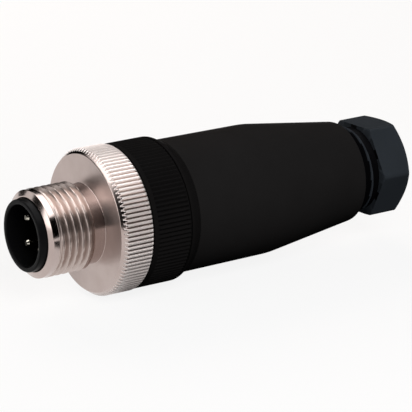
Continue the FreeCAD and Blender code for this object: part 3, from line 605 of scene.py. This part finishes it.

# %% [markdown]
# ## The case
# The case is a plain moulding: nearly straight to a soft knee, then a straight taper to a rounded end. Inside it
# are the seal's groove, a plain bore where its thread is, a bulkhead and the bore of the gland.

# %% Case
CASE_ANGLES = 240
CASE_FRONT, CASE_KNEE, CASE_END = 9.15, 9.05, 7.05
KNEE_AT = 14.4
MOUTH_BORE = 7.78
GROOVE_FLOOR, GROOVE_FRONT, GROOVE_BACK = 8.6, 0.55, 1.65
THREAD_BORE, THREAD_BORE_FRONT, THREAD_BORE_BACK = 7.48, 2.4, 6.4
CHAMBER_BORE, CHAMBER_BACK = 7.2, 12.15
CABLE_HOLE, BULKHEAD_FRONT, BULKHEAD_BACK = 3.6, 13.55, 14.95
SEAL_BORE = 5.9
GLAND_BORE, GLAND_DEPTH = 6.28, 8.4

case_low, case_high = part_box("rear_housing")
case_front, case_back = case_low.x / MM, case_high.x / MM
case_rows = outline([
    (case_front, MOUTH_BORE),
    (case_front, CASE_FRONT, 0.18),
    (case_front + KNEE_AT, CASE_KNEE, 0.9),
    (case_back, CASE_END, 0.6),
    (case_back, GLAND_BORE, 0.1),
    (case_back - GLAND_DEPTH, GLAND_BORE),
    (case_back - GLAND_DEPTH, SEAL_BORE),
    (case_front + BULKHEAD_BACK, SEAL_BORE),
    (case_front + BULKHEAD_BACK, CABLE_HOLE),
    (case_front + BULKHEAD_FRONT, CABLE_HOLE),
    (case_front + CHAMBER_BACK, CHAMBER_BORE),
    (case_front + THREAD_BORE_BACK, CHAMBER_BORE),
    (case_front + THREAD_BORE_BACK, THREAD_BORE),
    (case_front + THREAD_BORE_FRONT, THREAD_BORE),
    (case_front + THREAD_BORE_FRONT, MOUTH_BORE),
    (case_front + GROOVE_BACK, MOUTH_BORE),
    (case_front + GROOVE_BACK, GROOVE_FLOOR),
    (case_front + GROOVE_FRONT, GROOVE_FLOOR),
    (case_front + GROOVE_FRONT, MOUTH_BORE)])
case_angles = even_angles(CASE_ANGLES)
case_mesh = finish_mesh(grid_mesh("tapered_case", case_rows[:, :1], case_rows[:, 1:], case_angles[None, :]))
piece("tapered_case", case_mesh, case_plastic, "housing", "black_polyamide", "rear_housing")

# %% [markdown]
# ## The insert
# The insert's cup holds the pins. Inside it, at the top, a coding key runs along the wall. Seen along the axis the
# key has two parallel sides and a flat top, so it is drawn as a short path of points. The rows inside the cup
# follow that path, and the rows elsewhere follow the circle, with the same number of columns.

# %% Insert
KEY_HALF = 0.65
KEY_RISE = 0.8
KEY_SETBACK = 0.9
KEY_EDGE = 0.12
KEY_STEP = 0.05
CUP = 4.9
CUP_WALL = 0.7
CUP_DEPTH = 7.9
FLOOR_THICKNESS = 1.0
WALL_COLUMNS = 170
INSERT_NECK = 4.35
SEAL_FLOOR, SEAL_FRONT, SEAL_BACK = 3.7, 4.35, 5.35

insert_low, insert_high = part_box("contact_insert")
rim, neck_end = insert_low.x / MM, insert_high.x / MM
cup_inside = CUP - CUP_WALL
key_top = cup_inside - KEY_RISE
key_foot = math.sqrt(cup_inside ** 2 - KEY_HALF ** 2)
key_path = np.array([
    (KEY_HALF, key_foot), (KEY_HALF, (key_foot + key_top) / 2), (KEY_HALF, key_top + KEY_EDGE),
    (KEY_HALF - KEY_EDGE / 3, key_top + KEY_EDGE / 3), (KEY_HALF - KEY_EDGE, key_top)])
key_path = np.concatenate([key_path, [(0, key_top)], key_path[::-1] * (-1, 1)])
key_angles = np.arctan2(key_path[:, 1], key_path[:, 0])
key_radii = np.hypot(key_path[:, 0], key_path[:, 1])
foot_angle = math.asin(KEY_HALF / cup_inside)
plain_key_angles = math.pi / 2 + np.linspace(-foot_angle, foot_angle, len(key_path))
wall_angles = math.pi / 2 + np.linspace(foot_angle, 2 * math.pi - foot_angle, WALL_COLUMNS + 2)[1:-1]
plain_angles = np.concatenate([plain_key_angles, wall_angles])
keyed_angles = np.concatenate([key_angles, wall_angles])

key_front = rim + KEY_SETBACK
cup_floor = rim + CUP_DEPTH
cup_back = cup_floor + FLOOR_THICKNESS
insert_rows = outline([
    (rim, cup_inside, 0.2),
    (rim, CUP, 0.2),
    (cup_back, CUP, 0.1),
    (cup_back, INSERT_NECK),
    (cup_back + SEAL_FRONT, INSERT_NECK),
    (cup_back + SEAL_FRONT, SEAL_FLOOR),
    (cup_back + SEAL_BACK, SEAL_FLOOR),
    (cup_back + SEAL_BACK, INSERT_NECK),
    (neck_end, INSERT_NECK, 0.15),
    (neck_end, 0),
    (cup_floor, 0),
    (cup_floor, cup_inside),
    (key_front + KEY_STEP, cup_inside),
    (key_front, cup_inside)])
x, wall = insert_rows[:, :1], insert_rows[:, 1:]
keyed = (x > key_front + NEAR) & (x < cup_floor + NEAR) & (wall < cup_inside + NEAR) & (wall > 0)
shape = np.concatenate([key_radii, np.full(WALL_COLUMNS, cup_inside)])
r = np.where(keyed, shape[None, :], np.repeat(wall, len(shape), axis=1))
angles = np.where(keyed, keyed_angles[None, :], plain_angles[None, :])
insert_mesh = finish_mesh(grid_mesh("keyed_insert", x, r, angles))
piece("keyed_insert", insert_mesh, insert_plastic, "connector_body", "insert_plastic", "contact_insert")

# %% [markdown]
# ## The pressing screw
# The hexagon is a prism cut into a turned blank. At each angle the prism's radius is flat / cos(angle from the
# nearest flat's middle). The two bevels of the blank cut the prism along curved lines, highest at the corners. Each
# column of the grid has its own stations for those lines, so they stay sharp. Where two surfaces meet, a smooth
# minimum rounds the edge as moulding does.

# %% Pressing screw
HEX_FLAT = 6.25
HEX_CORNER = 7.1
HEX_LENGTH = 4.9
HEX_TURN = -3.0
HEX_FRONT, HEX_FRONT_BEVEL = 6.8, 0.15
HEX_BACK, HEX_BACK_BEVEL = 6.05, 0.6
# Rows before and behind each bevel's edge, and between them by their share of the length
FRONT_STEPS = (-0.2, -0.08, -0.04, 0.0, 0.04, 0.1)
MIDDLE_SHARES = (0.25, 0.5)
BACK_STEPS = (-0.12, -0.05, 0.0, 0.05, 0.15)
EDGE_SOFTNESS = 0.1
GLAND_THREAD = 6.2
GLAND_PITCH = 1.27
GLAND_START, GLAND_FADE, GLAND_OVERRUN = 0.4, 0.5, 1.0
GLAND_ROWS = 14
GLAND_NECK = 5.7
NECK_LENGTH = 1.2
# Distance before the hexagon and rise above the neck
NECK_FILLET = ((0.12, 0.0), (0.03, 0.03), (0.0, 0.12))
PRESS_BORE, PRESS_EDGE = 5.05, 5.9
BORE_CONE_END, CABLE_BORE_FRONT = 2.4, 5.8
CABLE_ENTRY = 3.5
# Distance before the back end and rise above the cable entry
ENTRY_BEVEL = ((0.0, 0.6), (0.05, 0.5), (0.55, 0.05), (0.65, 0.0))
# Depth below the gland thread's crest where the painted shade of its valleys begins
SHADED_VALLEY_DEPTH = 0.15

press_low, press_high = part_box("pressing_screw")
press_front, press_back = press_low.x / MM, press_high.x / MM
hex_front = press_back - HEX_LENGTH
thread_end = hex_front - NECK_LENGTH


def smooth_minimum(one, other, softness):
    """min(a, b) - h * h * k / 4 with h = max(k - |a - b|, 0) / k: the lower of two, rounded over k."""
    blend = np.maximum(softness - np.abs(one - other), 0) / softness
    return np.minimum(one, other) - blend * blend * softness / 4


# Columns in degrees from a flat's middle: dense near the six corners, where the rounding is
half_side = np.concatenate([np.linspace(0, 26, 9), np.linspace(27, 30, 7)])
side = np.concatenate([-half_side[:0:-1], half_side])[:-1]
press_angles = np.radians((np.arange(6)[:, None] * 60 + 90 + HEX_TURN + side[None, :]).ravel())
from_flat = (np.degrees(press_angles) - 90 - HEX_TURN + 30) % 60 - 30
prism = HEX_FLAT / np.cos(np.radians(from_flat))
neighbour = HEX_FLAT / np.cos(np.radians(60 - np.abs(from_flat)))
prism = smooth_minimum(prism, neighbour, EDGE_SOFTNESS * 2)[None, :]

front_meets = hex_front + HEX_FRONT_BEVEL * np.clip((prism - HEX_FRONT) / (HEX_CORNER - HEX_FRONT), 0, 1)
back_meets = press_back - HEX_BACK_BEVEL * np.clip((prism - HEX_BACK) / (HEX_CORNER - HEX_BACK), 0, 1)


def blank(stations):
    """Radius of the turned blank: bevels at both ends of the hexagon."""
    front = HEX_FRONT + (stations - hex_front) / HEX_FRONT_BEVEL * (HEX_CORNER - HEX_FRONT)
    back = HEX_BACK + (press_back - stations) / HEX_BACK_BEVEL * (HEX_CORNER - HEX_BACK)
    return np.minimum(np.minimum(front, back), HEX_CORNER)


hexagon_stations = np.concatenate([
    np.maximum(front_meets + step, hex_front) for step in FRONT_STEPS] + [
    np.full_like(prism, hex_front + share * HEX_LENGTH) for share in MIDDLE_SHARES] + [
    np.minimum(back_meets + step, press_back) for step in BACK_STEPS] + [
    np.full_like(prism, press_back)])
hexagon_radii = smooth_minimum(blank(hexagon_stations), prism, EDGE_SOFTNESS)

thread_rows = np.arange(press_front, thread_end, GLAND_PITCH / GLAND_ROWS)
outside = np.concatenate([
    [(press_front, PRESS_BORE), (press_front, PRESS_EDGE)],
    np.stack([thread_rows, np.full_like(thread_rows, GLAND_THREAD)], axis=1)[2:],
    [(thread_end, GLAND_THREAD), (thread_end + 2 * NEAR, GLAND_NECK)],
    [(hex_front - ahead, GLAND_NECK + rise) for ahead, rise in NECK_FILLET]])
inside = np.array(
    [(press_back - ahead, CABLE_ENTRY + rise) for ahead, rise in ENTRY_BEVEL]
    + [(press_front + CABLE_BORE_FRONT, CABLE_ENTRY), (press_front + BORE_CONE_END, PRESS_BORE)])
columns = press_angles.size
x = np.concatenate([np.repeat(outside[:, :1], columns, axis=1), hexagon_stations,
                    np.repeat(inside[:, :1], columns, axis=1)])
r = np.concatenate([np.repeat(outside[:, 1:], columns, axis=1), hexagon_radii,
                    np.repeat(inside[:, 1:], columns, axis=1)])
# The thread runs on at full depth to the neck, and its first two rows are the turned front
thread = thread_limit(x, press_angles[None, :], GLAND_THREAD, GLAND_PITCH,
                      press_front + GLAND_START, thread_end + GLAND_OVERRUN, GLAND_FADE)
row = np.arange(len(x))[:, None]
threaded = (row > 1) & (row < len(outside) - len(NECK_FILLET) - 1) & (x <= thread_end)
r = np.where(threaded, np.minimum(r, thread), r)
press_mesh = finish_mesh(grid_mesh("hexagon_pressing_screw", x, r, press_angles[None, :]))
piece("hexagon_pressing_screw", press_mesh, gland_plastic, "gland_screw", "gland_polyamide", "pressing_screw")
# Painted shade: ahead of the hexagon, every face lying deeper than that below the thread's crest is near black: the
# thread's valleys, the neck, and the front and bore there as well
station, radius = face_centres(press_mesh)
other_finish(press_mesh, valley_painted_shade_plastic, (station < hex_front) & (radius < GLAND_THREAD - SHADED_VALLEY_DEPTH))

# %% [markdown]
# ## The pieces that keep their frame shape
# The pins, the terminals, the seals and the gland's small pieces have their real shape in the frame already. They
# get the finish of their real material.

# %% Finishes for the frame's own pieces
FRAME_FINISHES = {
    "contact_1": contact_metal, "contact_2": contact_metal, "contact_3": contact_metal, "contact_4": contact_metal,
    "terminal_screw_1": screw_metal, "terminal_screw_2": screw_metal,
    "terminal_screw_3": screw_metal, "terminal_screw_4": screw_metal,
    "terminal_carrier": insert_plastic, "clamping_cage": gland_plastic, "thrust_washer": gland_plastic,
    "neck_seal": seal_rubber, "joint_seal": seal_rubber, "cable_seal": seal_rubber,
}
for name, finish in FRAME_FINISHES.items():
    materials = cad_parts[name].data.materials
    materials.clear()
    materials.append(finish)

# %% [markdown]
# ## Floor, sky and light
# The photograph has a pure white background and hardly any shadow. The floor is a sheet just under the part. Seen
# directly, in a reflection or through glass, most of it is plain white light of strength 1, and a small share is
# near white paper, which keeps the part's soft shadow. The light that it throws on the part is that of a middle
# grey paper, because the photographed part is dark underneath.

# %% Floor
FLOOR_SIZE = 4.0
FLOOR_GAP = 0.3
FLOOR_LIGHT_SHARE = 0.86
UNSEEN_PAPER, SEEN_PAPER = "#505050", "#f2f2f2"


def directly_seen(tree):
    """1 for the rays of the camera, of a reflection and through glass, 0 for the light that falls on the part."""
    ray = add_node(tree, "ShaderNodeLightPath")
    seen = add_node(tree, "ShaderNodeMath", {"operation": "MAXIMUM"},
                    {0: ray.outputs["Is Camera Ray"], 1: ray.outputs["Is Glossy Ray"]})
    direct = add_node(tree, "ShaderNodeMath", {"operation": "MAXIMUM"},
                      {0: seen.outputs[0], 1: ray.outputs["Is Transmission Ray"]})
    return direct.outputs[0]


def pale_floor():
    """The floor's material: white light and paper in fixed shares, and grey paper for the light on the part."""
    material, tree = new_material("pale_floor")
    direct = directly_seen(tree)
    white = add_node(tree, "ShaderNodeEmission", {"Color": (1, 1, 1, 1), "Strength": 1.0})
    tone = add_node(tree, "ShaderNodeMixRGB", {1: linear(UNSEEN_PAPER), 2: linear(SEEN_PAPER)}, {0: direct})
    paper = add_node(tree, "ShaderNodeBsdfDiffuse", {}, {"Color": tone.outputs[0]})
    share = add_node(tree, "ShaderNodeMath", {"operation": "MULTIPLY", 1: FLOOR_LIGHT_SHARE}, {0: direct})
    mixed = add_node(tree, "ShaderNodeMixShader", {},
                     {0: share.outputs[0], 1: paper.outputs[0], 2: white.outputs[0]})
    add_node(tree, "ShaderNodeOutputMaterial", {}, {"Surface": mixed.outputs[0]})
    return material


floor_mesh = bpy.data.meshes.new("floor")
half = FLOOR_SIZE / 2
height = cad_low[2] - FLOOR_GAP * MM
floor_mesh.from_pydata([(-half, -half, height), (half, -half, height), (half, half, height), (-half, half, height)],
                       [], [(0, 1, 2, 3)])
floor_mesh.materials.append(pale_floor())
floor = bpy.data.objects.new("floor", floor_mesh)
bpy.context.scene.collection.objects.link(floor)

# %% [markdown]
# The lamps are large and soft, as in a product tent. A wide one overhead is seen in reflections only: it whitens
# the top of the metal. One at the left, beside the pins, lights the ring's front. Two fills, the back one warm,
# light the plastics from both sides and aren't seen in reflections.

# %% Lamps
MIDDLE = Vector((27.0, 0.0, 0.0))


def soft_lamp(name, place, size, radiance, colour="#ffffff", sheen=True, fill=True):
    """A rectangular area lamp at a place, facing the part, all in millimetres: power = pi * area * radiance.

    A lamp without sheen isn't seen in reflections, and a lamp without fill gives no diffuse light.
    """
    lamp = bpy.data.lights.new(name, "AREA")
    lamp.shape = "RECTANGLE"
    lamp.size, lamp.size_y = size[0] * MM, size[1] * MM
    lamp.energy = math.pi * lamp.size * lamp.size_y * radiance
    lamp.color = linear(colour)[:3]
    made = bpy.data.objects.new(name, lamp)
    made.location = Vector(place) * MM
    made.rotation_euler = (Vector(place) - MIDDLE).to_track_quat("Z", "Y").to_euler()
    made.visible_glossy = sheen
    made.visible_diffuse = fill
    bpy.context.scene.collection.objects.link(made)
    return made


soft_lamp("overhead_lamp", (45, 30, 250), (400, 380), 1.9, fill=False)
soft_lamp("left_lamp", (-330, 20, 95), (190, 190), 1.8)
soft_lamp("front_fill", (-22, -276, 175), (220, 220), 7.0, sheen=False)
soft_lamp("back_fill", (60, 276, 175), (220, 220), 5.0, "#ffe9da", sheen=False)

# %% [markdown]
# Bright metal shows its surroundings, so black cards stand round the table, between the floor's edge and the
# overhead lamp. There is a gap for the left lamp, and a low one behind the ring. A black flag lies on the floor
# under the part: the underside of the metal mirrors it, and it keeps the floor's light off the plastics. It is
# clear from below. The camera sees none of them. The dark lines between the knurls and threads come from them.

# %% Cards
CARD_DISTANCE = 520.0
CARD_BLACK = "#0c0b0b"
CARD_STEP, CARD_ROWS = 6, 8
# First and last azimuth, lowest and highest elevation, in degrees
CARDS = (
    (-156, -48, -1, 49),
    (-48, 60, -1, 48),
    (60, 118, -1, 54),
    (118, 135, 26, 54),
    (135, 162, -1, 47))
# The flag's corners on the floor
FLAG = ((11, -80), (150, -80), (150, 60), (11, 60))
FLAG_GAP = 0.1


def black_paint(name, one_sided=False):
    """Matt black. One-sided, it is clear from behind."""
    material, tree = new_material(name)
    surface = add_node(tree, "ShaderNodeBsdfDiffuse", {"Color": linear(CARD_BLACK)})
    if one_sided:
        clear = add_node(tree, "ShaderNodeBsdfTransparent")
        side = add_node(tree, "ShaderNodeNewGeometry")
        surface = add_node(tree, "ShaderNodeMixShader", {},
                           {0: side.outputs["Backfacing"], 1: surface.outputs[0], 2: clear.outputs[0]})
    add_node(tree, "ShaderNodeOutputMaterial", {}, {"Surface": surface.outputs[0]})
    return material


def show_in_reflections(name, mesh, material, shades=False):
    """Add a black card that only reflections meet, or one that takes diffuse light from the part as well."""
    mesh.materials.append(material)
    card = bpy.data.objects.new(name, mesh)
    card.visible_camera = False
    card.visible_diffuse = shades
    card.visible_shadow = False
    card.visible_transmission = False
    bpy.context.scene.collection.objects.link(card)


def black_card(name, material, first, last, low, high):
    """Part of a sphere round the part, between two azimuths and two elevations in degrees."""
    azimuths = np.radians(np.linspace(first, last, max(2, int((last - first) / CARD_STEP))))
    elevations = np.radians(np.linspace(low, high, CARD_ROWS))
    across, up = np.meshgrid(azimuths, elevations)
    points = np.stack([np.cos(up) * np.cos(across), np.cos(up) * np.sin(across), np.sin(up)], axis=-1)
    points = (points * CARD_DISTANCE + np.array(MIDDLE)) * MM
    index = np.arange(across.size).reshape(across.shape)
    quads = np.stack([index[:-1, :-1], index[:-1, 1:], index[1:, 1:], index[1:, :-1]], axis=-1).reshape(-1, 4)
    mesh = bpy.data.meshes.new(name)
    mesh.from_pydata(points.reshape(-1, 3).tolist(), [], quads.tolist())
    show_in_reflections(name, mesh, material)


card_material = black_paint("black_card")
for number, limits in enumerate(CARDS):
    black_card("black_card_%d" % (number + 1), card_material, *limits)

flag_height = height + FLAG_GAP * MM
flag_mesh = bpy.data.meshes.new("black_flag")
flag_mesh.from_pydata([(x * MM, y * MM, flag_height) for x, y in FLAG], [], [(0, 1, 2, 3)])
show_in_reflections("black_flag", flag_mesh, black_paint("black_flag", one_sided=True), shades=True)

# %% [markdown]
# The sky is plain white wherever it is seen, and gives the part only a little light.

# %% Sky
SKY_LIGHT = 0.1

world = bpy.data.worlds.new("studio")
world.use_nodes = True
world.node_tree.nodes.clear()
bpy.context.scene.world = world
tree = world.node_tree
dim = add_node(tree, "ShaderNodeBackground", {"Color": (1, 1, 1, 1), "Strength": SKY_LIGHT})
white = add_node(tree, "ShaderNodeBackground", {"Color": (1, 1, 1, 1), "Strength": 1.0})
mixed = add_node(tree, "ShaderNodeMixShader", {}, {0: directly_seen(tree), 1: dim.outputs[0], 2: white.outputs[0]})
add_node(tree, "ShaderNodeOutputWorld", {}, {"Surface": mixed.outputs[0]})

# %% [markdown]
# The picture's view transform is Standard, so a colour renders as it is written.

# %% Finish
bpy.context.scene.view_settings.view_transform = "Standard"
